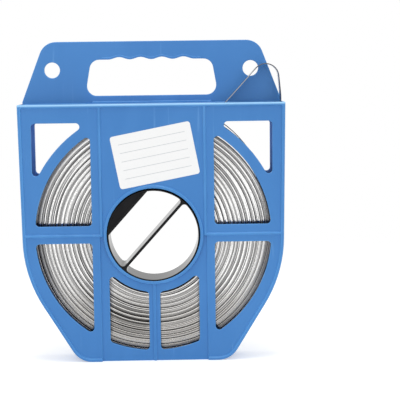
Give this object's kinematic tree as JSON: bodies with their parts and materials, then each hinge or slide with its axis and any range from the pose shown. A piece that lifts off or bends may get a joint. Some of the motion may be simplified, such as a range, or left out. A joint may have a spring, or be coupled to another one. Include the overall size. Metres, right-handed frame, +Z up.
{
  "type": "steel strap coil in carrying case",
  "caption": "Coil of flat steel banding strap on a plastic core in a flat moulded carrying case with windows, a grip handle and hanging holes; the free end is looped back in.",
  "frame": {"origin": "middle of the flat foot that the case stands on", "axes": "+Z up towards the handle, -Y the front with the label, +X to the right seen from the front"},
  "size_m": [0.2294, 0.0316, 0.2783],
  "materials": {
    "case_plastic": "fine moulded satin",
    "strap_steel": "bright rolled, cut edges",
    "core_plastic": "smooth moulded",
    "label_paper": "coated paper"
  },
  "bodies": {
    "root": {"front_half": "case_plastic", "back_half": "case_plastic", "steel_coil": "strap_steel", "core": "core_plastic", "paper_label": "label_paper"}
  },
  "joints": []
}
